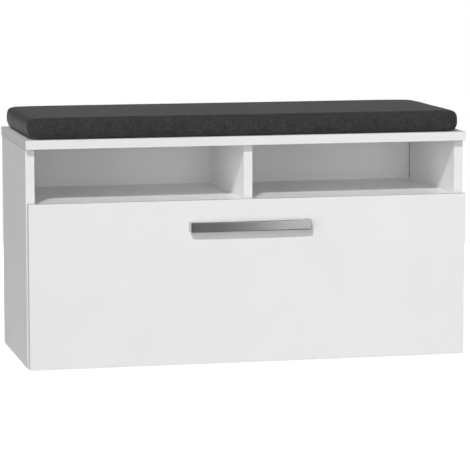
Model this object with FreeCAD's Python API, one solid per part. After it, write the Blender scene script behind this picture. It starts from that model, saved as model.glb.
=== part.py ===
import FreeCAD, Part
import os
from FreeCAD import Vector

os.makedirs("parts", exist_ok=True)

# Entryway bench with two open niches over one wide drawer and a loose seat cushion.
# Millimetres. X runs to the right, Y to the back, Z up. The origin is on the floor,
# under the middle of the whole bench, handle included.

# Boards and carcass
board = 16.0               # thickness of the melamine-faced boards
edging = 0.8               # thickness of the plastic edging strips
edging_round = 0.6         # rounding of an edging strip's two outer corners
carcass_width = 800.0      # over the two side panels
side_depth = 286.0
side_height = 389.0
top_side_overhang = 1.5
top_front_overhang = 15.0
glide_height = 3.0
glide_inset = 20.0         # from the side panels' front and rear edges
glide_radius = 7.0
glide_nail_length = 14.0
glide_nail_radius = 1.1
niche_height = 98.0        # clear height between the shelf and the top panel
back_thickness = 3.0
back_inset = 3.0           # from the side panels' rear edges to the back panel
groove_depth = 6.0
groove_ease = 0.2          # behind the back panel
groove_play = 3.0          # ahead of it in the side panels' grooves, seen as a dark line in the niches
back_edge_play = 0.5       # at the back panel's edges inside the grooves

# Drawer front and handle
front_gap = 6.0            # between the side panels' front edges and the drawer front
front_side_inset = 1.5
front_height = 293.0
front_lift = 0.5           # lower edge of the drawer front above the side panels' lower edges
handle_length = 220.0
handle_height = 18.2
handle_projection = 18.0
handle_bar = 6.0
handle_bow_rise = 1.5      # how far the bar's middle stands ahead of its ends
handle_leg = 10.0
handle_drop = 46.6         # from the drawer front's top edge down to the bar's centre line
handle_offset = -2.0       # sideways, from the middle of the drawer front
handle_round = 2.0
handle_outer_turn = 3.0    # plan radii where the bar turns into its legs
handle_inner_turn = 4.0
handle_hole_radius = 2.2

# Drawer box and its roller runners
box_board = 12.0
runner_space = 12.5        # between a side panel and the drawer box
box_side_height = 200.0
box_side_length = 256.0
box_lift = 13.0            # from the bottom panel up to the drawer box's lower edges
hdf = 3.0
bottom_groove_lift = 12.0
bottom_groove_depth = 5.0
runner_length = 250.0
runner_height = 20.0
runner_lift = 15.0         # from the bottom panel up to the cabinet runners
sheet = 1.2                # steel sheet of the runners
roller_radius = 8.2
roller_width = 7.0
roller_gap = 0.3           # between a roller and the track it runs on
axle_radius = 2.5
running_clearance = 0.05
front_roller_back = 14.0   # from the side panels' front edges to the cabinet rollers' axles
rear_roller_back = 232.0   # from the same edges to the drawer rollers' axles, drawer shut
bumper_radius = 5.0
bumper_gap = 0.3
bumper_round = 3.0

# Cushion
cushion_width = 789.0
cushion_depth = 293.0
cushion_height = 37.0
cushion_offset = -1.5      # sideways: the cushion lies a little to the left
cushion_forward = 11.0     # ahead of the side panels' front edges
cushion_corner = 22.0
cushion_top_round = 9.0
cushion_bottom_round = 5.0
cover = 2.0                # cover fabric with its lining
tape = 0.7                 # one layer of hook-and-loop tape
tape_size = (90.0, 25.0)
tape_from_middle = 270.0
tape_from_front = 45.0
tape_from_rear = 75.0

# Fasteners
cam_radius = 7.5
cam_depth = 12.5
cam_recess = 0.4           # a cam's face below the board's face
cam_back = 24.0            # from a board's end to its cam's centre
cap_radius = 8.5           # of the foil discs stuck over the cams that face into the niches
cap_thickness = 0.4
bolt_radius = 3.0
bolt_hole_depth = 11.0
shank_radius = 2.4
bolt_head_radius = 3.4
small_cam_radius = 6.0
small_cam_depth = 9.8
small_cam_recess = 0.3
small_bolt_radius = 2.5
small_shank_radius = 1.9
small_bolt_head_radius = 2.7
dowel_radius = 4.0
dowel_length = 30.0
dowel_shift = 4.0          # a carcass dowel sits this much deeper in one of its two boards
box_dowel_radius = 3.0
box_dowel_length = 25.0
screw_tip = 2.0

# Where fasteners sit, from the front and the rear edge of a side panel
cam_from_front, cam_from_rear = 38.0, 48.0
peg_from_front, peg_from_rear = 70.0, 80.0
back_screw_columns = (-330.0, -165.0, 0.0, 165.0, 330.0)
divider_screw_shares = (0.3, 0.75)     # of the niche's height
cabinet_runner_screw_places = (44.0, 124.0, 204.0)
drawer_runner_screw_places = (30.0, 118.0, 206.0)
drawer_runner_screw_lift = 6.0
box_bottom_screw_places = (-280.0, -95.0, 95.0, 280.0)

# Derived places
half_width = carcass_width / 2
inner_half = half_width - board
overall_depth = side_depth + front_gap + board + handle_projection
front_edge = -overall_depth / 2 + front_gap + board + handle_projection
rear_edge = front_edge + side_depth
base = glide_height
carcass_top = base + side_height
seat = carcass_top + board
shelf_top = carcass_top - niche_height
shelf_bottom = shelf_top - board
floor_top = base + board
back_front = rear_edge - back_inset - back_thickness
board_rear = back_front
front_inner = front_edge - front_gap
front_face = front_inner - board
front_low = base + front_lift
front_high = front_low + front_height
front_half = half_width - front_side_inset
handle_z = front_high - handle_drop
box_half = inner_half - runner_space
box_low = floor_top + box_lift
box_high = box_low + box_side_height
box_rear = front_inner + box_side_length
track_low = floor_top + runner_lift
drawer_flange_low = track_low + runner_height + 1.0

arc_share = 1 - 0.5 ** 0.5  # how far a quarter arc's middle lies inside its corner, per radius

UP = Vector(0, 0, 1)
DOWN = Vector(0, 0, -1)
BACK = Vector(0, 1, 0)
FORWARD = Vector(0, -1, 0)
RIGHT = Vector(1, 0, 0)


def save(name, solids):
    """Write one node: a single solid, or a group of separate solids."""
    shape = solids[0] if len(solids) == 1 else Part.makeCompound(solids)
    shape.exportStep("parts/" + name + ".step")
    print(name, len(solids), round(shape.Volume / 1000, 2), "cm3")


def block(x0, x1, y0, y1, z0, z1):
    """Axis-aligned box between two x, two y and two z values, in either order."""
    low = Vector(min(x0, x1), min(y0, y1), min(z0, z1))
    return Part.makeBox(abs(x1 - x0), abs(y1 - y0), abs(z1 - z0), low)


def rod(start, direction, length, radius):
    """Cylinder of that radius from a point along a direction."""
    return Part.makeCylinder(radius, length, start, direction)


def cone(start, direction, length, radius_start, radius_end):
    """Cone frustum from a point along a direction."""
    return Part.makeCone(radius_start, radius_end, length, start, direction)


def joined(shapes):
    """One solid out of shapes that touch or overlap."""
    result = shapes[0].multiFuse(shapes[1:]).removeSplitter()
    return result.Solids[0]


def less(shape, tools):
    """The shape with every tool cut out of it."""
    if not tools:
        return shape
    return shape.cut(Part.makeCompound(tools)).Solids[0]


def face_of(points_and_arcs):
    """Flat face inside a closed run of edges."""
    return Part.Face(Part.Wire(points_and_arcs))


def line(a, b):
    """Straight edge."""
    return Part.LineSegment(a, b).toShape()


def arc(a, middle, b):
    """Round edge through three points."""
    return Part.Arc(a, middle, b).toShape()


def edging_strip(start, run, outward, width):
    """Edging along run, its rear face at start, its two outer corners rounded."""
    length = run.Length
    along = run.normalize()
    thickness = edging
    across = outward.cross(along)
    r = edging_round
    k = r * arc_share
    rear_a = start
    rear_b = start + across * width
    a1 = rear_a + outward * (thickness - r)
    a2 = rear_a + outward * (thickness - k) + across * k
    a3 = rear_a + outward * thickness + across * r
    b1 = rear_b + outward * thickness - across * r
    b2 = rear_b + outward * (thickness - k) - across * k
    b3 = rear_b + outward * (thickness - r)
    outline = [line(rear_a, a1), arc(a1, a2, a3), line(a3, b1), arc(b1, b2, b3)]
    outline += [line(b3, rear_b), line(rear_b, rear_a)]
    return face_of(outline).extrude(along * length)


def cam_joint(point, into, cam_side):
    """Bolt, cam lock, cover cap and holes that pull a board's end against another board's face.

    point lies on the joint plane, on the bolt's axis; into runs from the faced board into the
    ended one; cam_side points from the ended board's middle towards the face with the cam."""
    centre = point + into * cam_back
    half = board / 2
    bolt = joined([
        rod(point - into * bolt_hole_depth, into, bolt_hole_depth + 1.0, bolt_radius),
        rod(point, into, cam_back - 2.0, shank_radius),
        rod(point + into * (cam_back - 2.5), into, 4.0, bolt_head_radius),
    ])
    mouth = centre + cam_side * half
    lock = rod(mouth - cam_side * cam_depth, cam_side, cam_depth - cam_recess, cam_radius)
    way_in = rod(centre - into * (cam_radius + 1), into, cam_radius + 4.0, 4.2)
    turn = into.cross(cam_side)
    socket = rod(mouth - cam_side * 3.4, cam_side, 4.0, 2.0)
    slot_half = turn * 3.2
    slot_low = mouth - cam_side * 2.4 - slot_half - into * 0.6
    slot = Part.makePolygon([slot_low, slot_low + turn * 6.4, slot_low + turn * 6.4 + into * 1.2,
                             slot_low + into * 1.2, slot_low])
    slot = Part.Face(slot).extrude(cam_side * 3.0)
    lock = less(lock, [way_in, socket, slot])
    cap = rod(mouth, cam_side, cap_thickness, cap_radius)
    faced_hole = rod(point - into * (bolt_hole_depth + 0.5), into, bolt_hole_depth + 0.5, bolt_radius)
    end_hole = rod(point, into, cam_back + 4.0, 4.0)
    cam_hole = rod(mouth - cam_side * cam_depth, cam_side, cam_depth, cam_radius)
    return {"bolt": bolt, "lock": lock, "cap": cap, "faced": [faced_hole], "ended": [end_hole, cam_hole]}


def small_cam_joint(point, into, cam_side):
    """The same joint for the thinner drawer boards: a flatter cam and a slimmer bolt."""
    centre = point + into * cam_back
    mouth = centre + cam_side * (box_board / 2)
    sunk = mouth - cam_side * small_cam_depth
    bolt = joined([
        rod(point - into * bolt_hole_depth, into, bolt_hole_depth + 1.0, small_bolt_radius),
        rod(point, into, cam_back - 2.0, small_shank_radius),
        rod(point + into * (cam_back - 2.5), into, 4.0, small_bolt_head_radius),
    ])
    lock = rod(sunk, cam_side, small_cam_depth - small_cam_recess, small_cam_radius)
    way_in = rod(centre - into * (small_cam_radius + 1), into, small_cam_radius + 4.0, 3.2)
    socket = rod(mouth - cam_side * 2.2, cam_side, 3.0, 1.8)
    lock = less(lock, [way_in, socket])
    faced_hole = rod(point - into * (bolt_hole_depth + 0.5), into, bolt_hole_depth + 0.5, small_bolt_radius)
    end_hole = rod(point, into, cam_back + 3.0, 3.0)
    cam_hole = rod(sunk, cam_side, small_cam_depth, small_cam_radius)
    return {"bolt": bolt, "lock": lock, "faced": [faced_hole], "ended": [end_hole, cam_hole]}


def dowel(middle, direction, radius=dowel_radius, length=dowel_length):
    """Beech dowel centred on the joint plane, with bevelled ends, and the bore for it."""
    start = middle - direction * (length / 2)
    body = rod(start + direction * 1.0, direction, length - 2.0, radius)
    ends = [cone(start, direction, 1.0, radius - 0.8, radius),
            cone(start + direction * (length - 1.0), direction, 1.0, radius, radius - 0.8)]
    return joined([body] + ends), rod(start, direction, length, radius)


def flush_screw(mouth, direction, length, radius, head_radius, head_depth):
    """Countersunk screw whose head is flush at mouth, with its cross recess, and its hole."""
    head = cone(mouth, direction, head_depth, head_radius, radius)
    shank = rod(mouth + direction * head_depth, direction, length - head_depth - screw_tip, radius)
    tip = cone(mouth + direction * (length - screw_tip), direction, screw_tip, radius, 0.4)
    envelope = joined([head, shank, tip])
    return less(envelope, [cross_recess(mouth, direction, head_radius)]), envelope


def pan_screw(seat_point, direction, length, radius, head_radius, head_height):
    """Screw with a low round head that stands on the surface, its cross recess, and its hole."""
    top = seat_point - direction * head_height
    head = cone(top, direction, head_height, head_radius * 0.72, head_radius)
    shank = rod(seat_point, direction, length - screw_tip, radius)
    tip = cone(seat_point + direction * (length - screw_tip), direction, screw_tip, radius, 0.4)
    hole = joined([shank, tip])
    return less(joined([head, shank, tip]), [cross_recess(top, direction, head_radius * 0.9)]), hole


def cross_recess(mouth, direction, head_radius):
    """Driver recess: two crossed bars sunk in the head."""
    reach = head_radius * 0.62
    width = head_radius * 0.2
    depth = head_radius * 0.38
    side = UP if abs(direction.dot(UP)) < 0.5 else RIGHT
    other = direction.cross(side)
    bars = []
    for long_way, short_way in ((side, other), (other, side)):
        corner = mouth - direction * 0.2 - long_way * reach - short_way * width
        outline = Part.makePolygon([corner, corner + long_way * 2 * reach,
                                    corner + long_way * 2 * reach + short_way * 2 * width,
                                    corner + short_way * 2 * width, corner])
        bars.append(Part.Face(outline).extrude(direction * (depth + 0.2)))
    return joined(bars)


def inward(side, distance):
    """X of a point that far inside the side panel's inner face; side is -1 left or 1 right."""
    return side * (inner_half - distance)


# Fasteners are collected here while the boards' joints are laid out.
holes = {}
carcass_bolts, carcass_locks, carcass_caps, carcass_pegs = [], [], [], []


def bore(board_name, tools):
    """Remember holes to cut in a board."""
    holes.setdefault(board_name, []).extend(tools)


def cam_between(faced, ended, point, into, cam_side, capped):
    """Lay one cam joint between two carcass boards."""
    fitting = cam_joint(point, into, cam_side)
    carcass_bolts.append(fitting["bolt"])
    carcass_locks.append(fitting["lock"])
    if capped:
        carcass_caps.append(fitting["cap"])
    bore(faced, fitting["faced"])
    bore(ended, fitting["ended"])


def peg_between(first, second, middle, direction):
    """Lay one dowel between two carcass boards."""
    peg, hole = dowel(middle, direction)
    carcass_pegs.append(peg)
    bore(first, [hole])
    bore(second, [hole])


side_names = {-1: "left_side_panel", 1: "right_side_panel"}
cam_rows = (front_edge + cam_from_front, rear_edge - cam_from_rear)
peg_rows = (front_edge + peg_from_front, rear_edge - peg_from_rear)
for side, side_name in side_names.items():
    mid_x = side * (half_width - board / 2)
    joint_x = side * inner_half
    inner_way = Vector(-side, 0, 0)
    for y in cam_rows:
        cam_between("top_panel", side_name, Vector(mid_x, y, carcass_top), DOWN, inner_way, True)
        cam_between(side_name, "shelf_panel", Vector(joint_x, y, shelf_top - board / 2), inner_way, DOWN, False)
        cam_between(side_name, "bottom_panel", Vector(joint_x, y, base + board / 2), inner_way, DOWN, False)
    for y in peg_rows:
        peg_between("top_panel", side_name, Vector(mid_x, y, carcass_top - dowel_shift), UP)
        deep_x = joint_x - side * dowel_shift
        peg_between(side_name, "shelf_panel", Vector(deep_x, y, shelf_top - board / 2), inner_way)
        peg_between(side_name, "bottom_panel", Vector(deep_x, y, base + board / 2), inner_way)
for y in peg_rows:
    peg_between("top_panel", "centre_divider", Vector(0, y, carcass_top - dowel_shift), UP)
    peg_between("centre_divider", "shelf_panel", Vector(0, y, shelf_top + dowel_shift), UP)

divider_screws = []
for y in cam_rows:
    screw, hole = flush_screw(Vector(0, y, shelf_bottom), UP, 50.0, 2.5, 5.0, 4.0)
    divider_screws.append(screw)
    bore("shelf_panel", [hole])
    bore("centre_divider", [hole])

# Back panel, its grooves and its screws
back_half = inner_half + groove_depth - back_edge_play
back_top = carcass_top + groove_depth - back_edge_play
groove_rear = back_front + back_thickness + groove_ease
for side, side_name in side_names.items():
    bore(side_name, [block(side * inner_half, side * (inner_half + groove_depth),
                           back_front - groove_play, groove_rear, base - 1, carcass_top + 1)])
bore("top_panel", [block(-inner_half - groove_depth, inner_half + groove_depth,
                         back_front, groove_rear, carcass_top, carcass_top + groove_depth)])
back_screws = []
back_screw_places = []
for z in (base + board / 2, shelf_top - board / 2):
    back_screw_places += [(x, z) for x in back_screw_columns]
back_screw_places += [(0.0, shelf_top + niche_height * share) for share in divider_screw_shares]
for x, z in back_screw_places:
    rear = Vector(x, back_front + back_thickness, z)
    screw, hole = pan_screw(rear, FORWARD, 20.0, 1.6, 3.4, 1.8)
    back_screws.append(screw)
    bore("back_panel", [hole])
    if z > shelf_top:
        bore("centre_divider", [hole])
    elif z > floor_top:
        bore("shelf_panel", [hole])
    else:
        bore("bottom_panel", [hole])

# Foot glides: a plastic disc with a nail into the side panel's lower edge
glides = []
for side, side_name in side_names.items():
    for y in (front_edge + glide_inset, rear_edge - glide_inset):
        foot = Vector(side * (half_width - board / 2), y, 0)
        disc = joined([cone(foot, UP, 1.0, glide_radius - 1.0, glide_radius),
                       rod(foot + UP, UP, glide_height - 1.0, glide_radius)])
        nail = rod(foot + UP * (glide_height - 1.0), UP, glide_nail_length, glide_nail_radius)
        glides.append(joined([disc, nail]))
        bore(side_name, [rod(foot + UP * glide_height, UP, glide_nail_length - 1.0, glide_nail_radius)])

# Runners: a channel on each side panel with a roller at its front, and an angle on each
# drawer side with a roller at its rear that runs inside the channel.
front_roller_y = front_edge + front_roller_back
rear_roller_y = front_edge + rear_roller_back
front_roller_z = drawer_flange_low - roller_gap - roller_radius
rear_roller_z = track_low + sheet + roller_gap + roller_radius
cabinet_runner_start = front_edge + 2.0
drawer_runner_start = front_inner + 4.0
channel_lip = 10.0
angle_inner = runner_space - sheet
runner_screws, drawer_runner_screws = [], []
cabinet_axles, drawer_axles = [], []
cabinet_runners, drawer_runners = {}, {}
cabinet_rollers, drawer_rollers = {}, {}
drawer_side_names = {-1: "drawer_left_side", 1: "drawer_right_side"}


def roller(side, near, y, z):
    """Nylon roller: a rim and a hub with a shallow ring between them, bored for its axle."""
    way = Vector(-side, 0, 0)
    start = Vector(inward(side, near), y, z)
    wheel = rod(start, way, roller_width, roller_radius)
    wheel = wheel.makeFillet(0.5, [e for e in wheel.Edges if e.Length > 2 * roller_radius])
    cuts = [rod(start - way, way, roller_width + 2.0, axle_radius + running_clearance)]
    for at in (start - way, start + way * (roller_width - 1.5)):
        ring = rod(at, way, 2.5, 6.4).cut(rod(at, way, 2.5, 4.4))
        cuts.append(ring)
    return less(wheel, cuts)


for side, side_name in side_names.items():
    way = Vector(-side, 0, 0)
    wall = inward(side, 0)
    web = inward(side, sheet)
    lip = inward(side, channel_lip)
    end = cabinet_runner_start + runner_length
    notch = front_roller_y + roller_radius + 4.0
    top = track_low + runner_height
    channel = joined([
        block(wall, web, cabinet_runner_start, end, track_low, top),
        block(wall, lip, cabinet_runner_start, end, track_low, track_low + sheet),
        block(wall, lip, notch, end, top - sheet, top),
        block(lip, inward(side, channel_lip - sheet), notch, end, top - 1.8, top),
    ])
    web_tools = [rod(Vector(wall, front_roller_y, front_roller_z), way, sheet, axle_radius)]
    for place in cabinet_runner_screw_places:
        mouth = Vector(web, front_edge + place, track_low + runner_height / 2)
        screw, hole = flush_screw(mouth, -way, 14.0, 1.7, 3.6, 1.9)
        runner_screws.append(screw)
        web_tools.append(hole)
        bore(side_name, [hole])
    cabinet_runners[side] = less(channel, web_tools)
    near = sheet + 1.0
    cabinet_rollers[side] = roller(side, near, front_roller_y, front_roller_z)
    axle_start = Vector(wall, front_roller_y, front_roller_z)
    cabinet_axles.append(joined([
        rod(axle_start, way, near + roller_width + 0.9, axle_radius),
        rod(axle_start + way * sheet, way, 0.9, 4.0),
        rod(axle_start + way * (near + roller_width + 0.1), way, 0.8, 4.0),
    ]))

    drawer_start = drawer_runner_start
    drawer_end = rear_roller_y + 12.0
    leg_out = inward(side, runner_space)
    leg_in = inward(side, angle_inner)
    flange_edge = inward(side, 3.0)
    angle = joined([
        block(leg_in, leg_out, drawer_start, drawer_end, track_low + 2.0, drawer_flange_low + sheet),
        block(flange_edge, leg_out, drawer_start, drawer_end, drawer_flange_low, drawer_flange_low + sheet),
    ])
    leg_tools = [rod(Vector(leg_in, rear_roller_y, rear_roller_z), way, sheet, axle_radius)]
    for place in drawer_runner_screw_places:
        mouth = Vector(leg_in, front_edge + place, track_low + drawer_runner_screw_lift)
        screw, hole = flush_screw(mouth, way, 12.0, 1.7, 3.6, 1.9)
        drawer_runner_screws.append(screw)
        leg_tools.append(hole)
        bore(drawer_side_names[side], [hole])
    drawer_runners[side] = less(angle, leg_tools)
    near = angle_inner - 1.0 - roller_width
    drawer_rollers[side] = roller(side, near, rear_roller_y, rear_roller_z)
    axle_start = Vector(inward(side, near - 0.9), rear_roller_y, rear_roller_z)
    drawer_axles.append(joined([
        rod(axle_start, way, runner_space - near + 0.9, axle_radius),
        rod(axle_start, way, 0.8, 4.0),
        rod(Vector(inward(side, near + roller_width + 0.1), rear_roller_y, rear_roller_z), way, 0.9, 4.0),
    ]))

# Drawer box joints
drawer_bolts, drawer_locks, drawer_pegs, drawer_back_screws, drawer_bottom_screws = [], [], [], [], []
box_back_front = box_rear - box_board
panel_low = box_low + bottom_groove_lift
for side, side_name in drawer_side_names.items():
    mid_x = side * (box_half - box_board / 2)
    for z in (box_low + 50.0, box_high - 40.0):
        fitting = small_cam_joint(Vector(mid_x, front_inner, z), BACK, Vector(-side, 0, 0))
        drawer_bolts.append(fitting["bolt"])
        drawer_locks.append(fitting["lock"])
        bore("drawer_front", fitting["faced"])
        bore(side_name, fitting["ended"])
    for z in (box_low + 85.0, box_low + 125.0):
        peg_middle = Vector(mid_x, front_inner + 3.0, z)
        peg, hole = dowel(peg_middle, BACK, box_dowel_radius, box_dowel_length)
        drawer_pegs.append(peg)
        bore("drawer_front", [hole])
        bore(side_name, [hole])
    for z in (box_low + 60.0, box_high - 40.0):
        mouth = Vector(side * box_half, box_rear - box_board / 2, z)
        screw, hole = flush_screw(mouth, Vector(-side, 0, 0), 40.0, 2.0, 4.2, 3.0)
        drawer_back_screws.append(screw)
        bore(side_name, [hole])
        bore("drawer_back", [hole])
    bore(side_name, [block(side * (box_half - box_board), side * (box_half - box_board + bottom_groove_depth),
                           front_inner, box_rear, panel_low, panel_low + hdf + groove_ease)])
groove_half = box_half - box_board + bottom_groove_depth
bore("drawer_front", [block(-groove_half, groove_half, front_inner - bottom_groove_depth, front_inner,
                            panel_low, panel_low + hdf + groove_ease)])
for x in box_bottom_screw_places:
    screw, hole = pan_screw(Vector(x, box_rear - box_board / 2, panel_low), UP, 16.0, 1.5, 3.2, 1.6)
    drawer_bottom_screws.append(screw)
    bore("drawer_bottom", [hole])
    bore("drawer_back", [hole])

# Handle
leg_centre = handle_length / 2 - handle_leg / 2
handle_screws = []
handle_taps = []
for way in (-1, 1):
    x = handle_offset + way * leg_centre
    screw, hole = pan_screw(Vector(x, front_inner, handle_z), FORWARD, 26.0, 2.0, 4.0, 2.4)
    handle_screws.append(screw)
    handle_taps.append(hole)
    bore("drawer_front", [rod(Vector(x, front_inner, handle_z), FORWARD, board, handle_hole_radius)])


def handle_solid():
    """A gently bowed bar that turns back into a leg at each end, cut from its outline in plan."""
    half = handle_length / 2
    low = handle_z - handle_height / 2
    outer_end = front_face - handle_projection + handle_bow_rise
    outer_mid = front_face - handle_projection
    inner_end = outer_end + handle_bar
    inner_mid = outer_mid + handle_bar
    inner_half_length = half - handle_leg
    corner = handle_outer_turn
    turn = handle_inner_turn

    def at(x, y):
        return Vector(handle_offset + x, y, low)

    k_corner = corner * arc_share
    k_turn = turn * arc_share
    outline = [
        line(at(-half, front_face), at(-half, outer_end + corner)),
        arc(at(-half, outer_end + corner), at(-half + k_corner, outer_end + k_corner),
            at(-half + corner, outer_end)),
        arc(at(-half + corner, outer_end), at(0, outer_mid), at(half - corner, outer_end)),
        arc(at(half - corner, outer_end), at(half - k_corner, outer_end + k_corner),
            at(half, outer_end + corner)),
        line(at(half, outer_end + corner), at(half, front_face)),
        line(at(half, front_face), at(inner_half_length, front_face)),
        line(at(inner_half_length, front_face), at(inner_half_length, inner_end + turn)),
        arc(at(inner_half_length, inner_end + turn),
            at(inner_half_length - k_turn, inner_end + k_turn),
            at(inner_half_length - turn, inner_end)),
        arc(at(inner_half_length - turn, inner_end), at(0, inner_mid),
            at(-inner_half_length + turn, inner_end)),
        arc(at(-inner_half_length + turn, inner_end),
            at(-inner_half_length + k_turn, inner_end + k_turn),
            at(-inner_half_length, inner_end + turn)),
        line(at(-inner_half_length, inner_end + turn), at(-inner_half_length, front_face)),
        line(at(-inner_half_length, front_face), at(-half, front_face)),
    ]
    bar = face_of(outline).extrude(UP * handle_height)
    rounded = []
    for edge in bar.Edges:
        points = [v.Point for v in edge.Vertexes]
        flat = all(abs(p.z - points[0].z) < 1e-6 for p in points)
        ahead = all(p.y < front_face - 0.5 for p in points)
        if flat and ahead and edge.CenterOfMass.y < outer_end + corner:
            rounded.append(edge)
    bar = bar.makeFillet(handle_round, rounded)
    return less(bar, handle_taps)


# Bumpers on the back of the drawer front, where it meets the side panels' front edges
bumpers = []
bumper_length = front_gap - bumper_gap
for side in (-1, 1):
    for z in (front_low + 30.0, front_high - 34.0):
        start = Vector(side * (half_width - board / 2), front_inner, z)
        knob = rod(start, BACK, bumper_length, bumper_radius)
        far = [e for e in knob.Edges if abs(e.CenterOfMass.y - front_inner - bumper_length) < 1e-6]
        bumpers.append(knob.makeFillet(bumper_round, far))


def cushion_form(inset):
    """Cushion shape: a flat pad with round corners in plan and soft top and bottom edges."""
    x0 = cushion_offset - cushion_width / 2 + inset
    x1 = cushion_offset + cushion_width / 2 - inset
    y0 = front_edge - cushion_forward + inset
    y1 = y0 + cushion_depth - 2 * inset
    pad = block(x0, x1, y0, y1, seat + inset, seat + cushion_height - inset)
    upright = [e for e in pad.Edges if abs(e.tangentAt(e.FirstParameter).z) > 0.9]
    pad = pad.makeFillet(cushion_corner - inset, upright)
    upper = [e for e in pad.Edges if e.BoundBox.ZMin > seat + cushion_height - inset - 0.01]
    pad = pad.makeFillet(cushion_top_round - inset, upper)
    lower = [e for e in pad.Edges if e.BoundBox.ZMax < seat + inset + 0.01]
    return pad.makeFillet(cushion_bottom_round - inset, lower)


hook_tapes, loop_tapes, tape_rooms = [], [], []
for x in (-tape_from_middle, tape_from_middle):
    for y in (front_edge + tape_from_front, rear_edge - tape_from_rear):
        x0, x1 = x - tape_size[0] / 2, x + tape_size[0] / 2
        y0, y1 = y - tape_size[1] / 2, y + tape_size[1] / 2
        hook_tapes.append(block(x0, x1, y0, y1, seat, seat + tape))
        loop_tapes.append(block(x0, x1, y0, y1, seat + tape, seat + 2 * tape))
        tape_rooms.append(block(x0, x1, y0, y1, seat - 1, seat + 2 * tape))
foam = cushion_form(cover)
cushion_cover = less(cushion_form(0.0), [foam] + tape_rooms)

# Boards, each one cut to leave room for its edging
side_edgings = []
for side, side_name in side_names.items():
    core = block(side * inner_half, side * half_width, front_edge + edging, rear_edge, base, carcass_top)
    save(side_name, [less(core, holes[side_name])])
    low_x = min(side * inner_half, side * half_width)
    side_edgings.append(edging_strip(Vector(low_x, front_edge + edging, carcass_top), DOWN * side_height,
                                     FORWARD, board))

top_half = half_width + top_side_overhang
top_front = front_edge - top_front_overhang
core = block(-top_half + edging, top_half - edging, top_front + edging, rear_edge, carcass_top, seat)
save("top_panel", [less(core, holes["top_panel"])])
top_run = 2 * (top_half - edging)
top_edgings = [
    edging_strip(Vector(-top_half + edging, top_front + edging, carcass_top), RIGHT * top_run, FORWARD, board),
    edging_strip(Vector(-top_half + edging, rear_edge, carcass_top),
                 FORWARD * (rear_edge - top_front), RIGHT * -1, board),
    edging_strip(Vector(top_half - edging, top_front, carcass_top),
                 BACK * (rear_edge - top_front), RIGHT, board),
]
save("top_panel_edging", top_edgings)
save("side_panel_edging", side_edgings)

inner_edgings = []
for name, low in (("shelf_panel", shelf_bottom), ("bottom_panel", base)):
    core = block(-inner_half, inner_half, front_edge + edging, board_rear, low, low + board)
    save(name, [less(core, holes[name])])
    inner_edgings.append(edging_strip(Vector(-inner_half, front_edge + edging, low),
                                      RIGHT * (2 * inner_half), FORWARD, board))
core = block(-board / 2, board / 2, front_edge + edging, board_rear, shelf_top, carcass_top)
save("centre_divider", [less(core, holes["centre_divider"])])
inner_edgings.append(edging_strip(Vector(-board / 2, front_edge + edging, carcass_top),
                                  DOWN * niche_height, FORWARD, board))
save("shelf_and_divider_edging", inner_edgings)

core = block(-back_half, back_half, back_front, back_front + back_thickness, base + 1.0, back_top)
save("back_panel", [less(core, holes["back_panel"])])

# Drawer boards
core = block(-front_half + edging, front_half - edging, front_face, front_inner,
             front_low + edging, front_high - edging)
save("drawer_front", [less(core, holes["drawer_front"])])
core_high = front_height - 2 * edging
save("drawer_front_edging", [
    edging_strip(Vector(-front_half, front_face, front_high - edging), RIGHT * (2 * front_half), UP, board),
    edging_strip(Vector(front_half, front_face, front_low + edging), RIGHT * (-2 * front_half), DOWN, board),
    edging_strip(Vector(-front_half + edging, front_face, front_low + edging),
                 UP * core_high, RIGHT * -1, board),
    edging_strip(Vector(front_half - edging, front_face, front_high - edging),
                 DOWN * core_high, RIGHT, board),
])
for side, side_name in drawer_side_names.items():
    core = block(side * box_half, side * (box_half - box_board), front_inner, box_rear, box_low, box_high)
    save(side_name, [less(core, holes[side_name])])
back_low = panel_low + hdf
core = block(-box_half + box_board, box_half - box_board, box_back_front, box_rear, back_low, box_high)
save("drawer_back", [less(core, holes["drawer_back"])])
panel_half = groove_half - back_edge_play
core = block(-panel_half, panel_half, front_inner - bottom_groove_depth + back_edge_play, box_rear,
             panel_low, panel_low + hdf)
save("drawer_bottom", [less(core, holes["drawer_bottom"])])

save("handle_bow", [handle_solid()])
save("handle_screws", handle_screws)
save("front_bumpers", bumpers)

save("carcass_cam_bolts", carcass_bolts)
save("carcass_cam_locks", carcass_locks)
save("cam_cover_caps", carcass_caps)
save("carcass_dowels", carcass_pegs)
save("divider_screws", divider_screws)
save("back_panel_screws", back_screws)
save("foot_glides", glides)

for side, word in ((-1, "left"), (1, "right")):
    save(word + "_cabinet_runner", [cabinet_runners[side]])
    save(word + "_cabinet_roller", [cabinet_rollers[side]])
    save(word + "_drawer_runner", [drawer_runners[side]])
    save(word + "_drawer_roller", [drawer_rollers[side]])
save("cabinet_runner_screws", runner_screws)
save("drawer_runner_screws", drawer_runner_screws)
save("cabinet_roller_axles", cabinet_axles)
save("drawer_roller_axles", drawer_axles)

save("drawer_cam_bolts", drawer_bolts)
save("drawer_cam_locks", drawer_locks)
save("drawer_dowels", drawer_pegs)
save("drawer_back_screws", drawer_back_screws)
save("drawer_bottom_screws", drawer_bottom_screws)

save("cushion_cover", [cushion_cover])
save("cushion_foam", [foam])
save("hook_tapes", hook_tapes)
save("loop_tapes", loop_tapes)

print("seat height", seat, "overall height", seat + cushion_height, "depth", overall_depth)
print("front roller y z", front_roller_y, front_roller_z, "rear roller y z", rear_roller_y, rear_roller_z)
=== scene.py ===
import bmesh
import bpy
import math
import numpy as np
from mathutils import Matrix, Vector
from mathutils.bvhtree import BVHTree


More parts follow.
